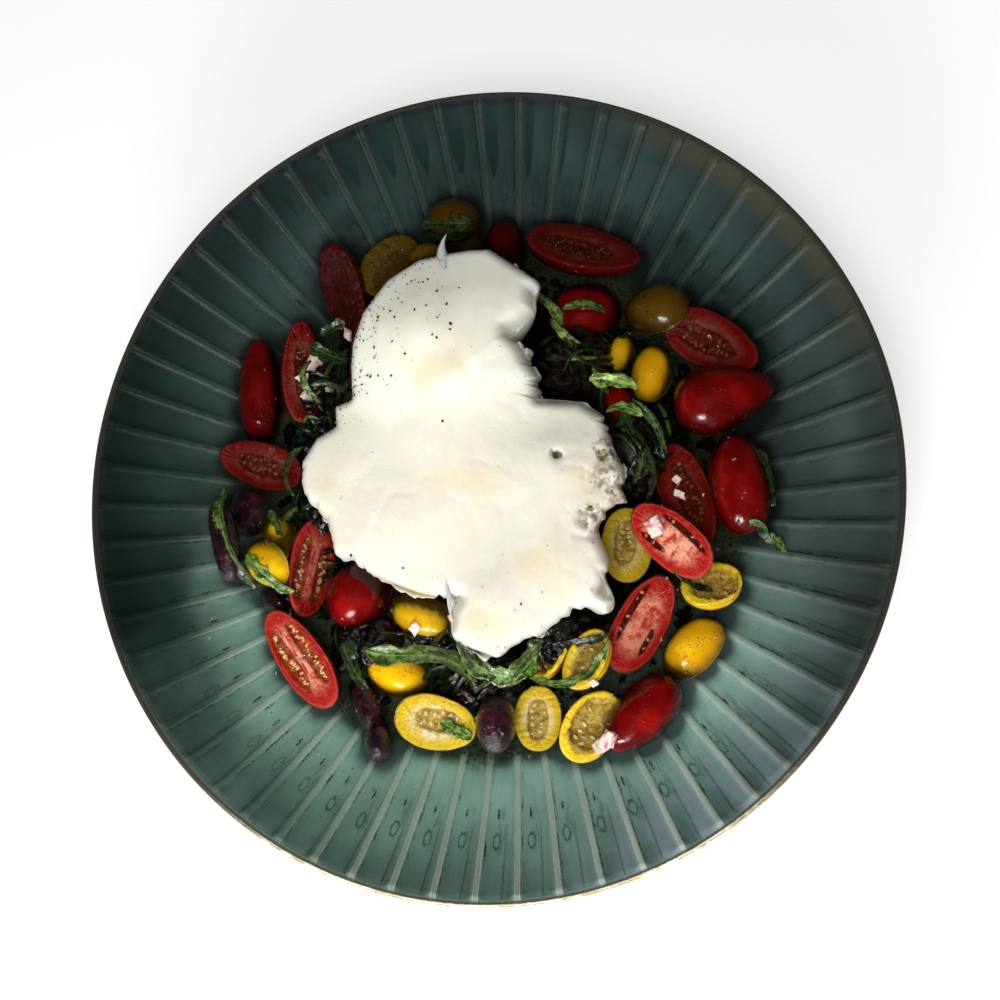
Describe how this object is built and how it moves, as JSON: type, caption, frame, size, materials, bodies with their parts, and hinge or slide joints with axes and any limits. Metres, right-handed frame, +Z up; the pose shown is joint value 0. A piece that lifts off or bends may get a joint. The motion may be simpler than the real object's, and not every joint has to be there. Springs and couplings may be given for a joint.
{
  "type": "burrata salad on its plate",
  "caption": "Soft round cheese torn open over halved small tomatoes, dark olives and basil, on its deep fluted glazed plate with a foot ring.",
  "frame": {"origin": "middle of the plate, on the plane that its foot ring stands on", "axes": "+Z up; +Y towards the smooth domed end of the burrata; +X to the right of that"},
  "size_m": [0.27, 0.27, 0.0539],
  "materials": {
    "plate_glaze": "glossy teal and blue-grey reactive glaze that breaks to grey-beige on the ribs, with fine dark flecks",
    "cheese": "moist white cheese, satin, with cream-coloured torn curd",
    "basil_green": "oily shredded basil, deep green to nearly black, with bright green strips",
    "tomato_red": "glossy wet red tomato",
    "tomato_yellow": "glossy wet golden yellow tomato",
    "olive_purple": "glossy near-black purple olive",
    "shallot_pink": "small translucent pink-white shallot dice",
    "pepper_black": "coarse ground pepper",
    "dressing_oil": "clear golden oil in drops and a thin film"
  },
  "bodies": {
    "root": {"burrata": "cheese", "olive_crescent_west": "olive_purple", "olive_long_south": "olive_purple", "olive_torn_south": "olive_purple", "olive_torn_southwest": "olive_purple", "olive_torn_west": "olive_purple", "olive_whole": "olive_purple", "plate": "plate_glaze", "red_half_by_cheese": "tomato_red", "red_half_east_cut": "tomato_red", "red_half_east_pear": "tomato_red", "red_half_east_pear_cut": "tomato_red", "red_half_east_skin": "tomato_red", "red_half_north": "tomato_red", "red_half_north_small": "tomato_red", "red_half_northeast": "tomato_red", "red_half_northwest": "tomato_red", "red_half_south_skin": "tomato_red", "red_half_southeast_bright": "tomato_red", "red_half_southeast_cut": "tomato_red", "red_half_southwest_cut": "tomato_red", "red_half_southwest_dome": "tomato_red", "red_half_southwest_low": "tomato_red", "red_half_under_basil": "tomato_red", "red_half_west": "tomato_red", "red_half_west_cut": "tomato_red", "red_half_west_skin": "tomato_red", "salad_bed": "basil_green", "yellow_half_east_cut": "tomato_yellow", "yellow_half_east_low": "tomato_yellow", "yellow_half_east_skin": "tomato_yellow", "yellow_half_north": "tomato_yellow", "yellow_half_north_hidden": "tomato_yellow", "yellow_half_north_small": "tomato_yellow", "yellow_half_northeast": "tomato_yellow", "yellow_half_northeast_shade": "tomato_yellow", "yellow_half_northeast_small": "tomato_yellow", "yellow_half_northwest": "tomato_yellow", "yellow_half_south_cut": "tomato_yellow", "yellow_half_south_deep": "tomato_yellow", "yellow_half_south_east_cut": "tomato_yellow", "yellow_half_south_olive": "tomato_yellow", "yellow_half_south_skin": "tomato_yellow", "yellow_half_southeast": "tomato_yellow", "yellow_half_under_cheese": "tomato_yellow", "yellow_half_west_skin": "tomato_yellow", "yellow_half_west_small": "tomato_yellow"}
  },
  "joints": []
}
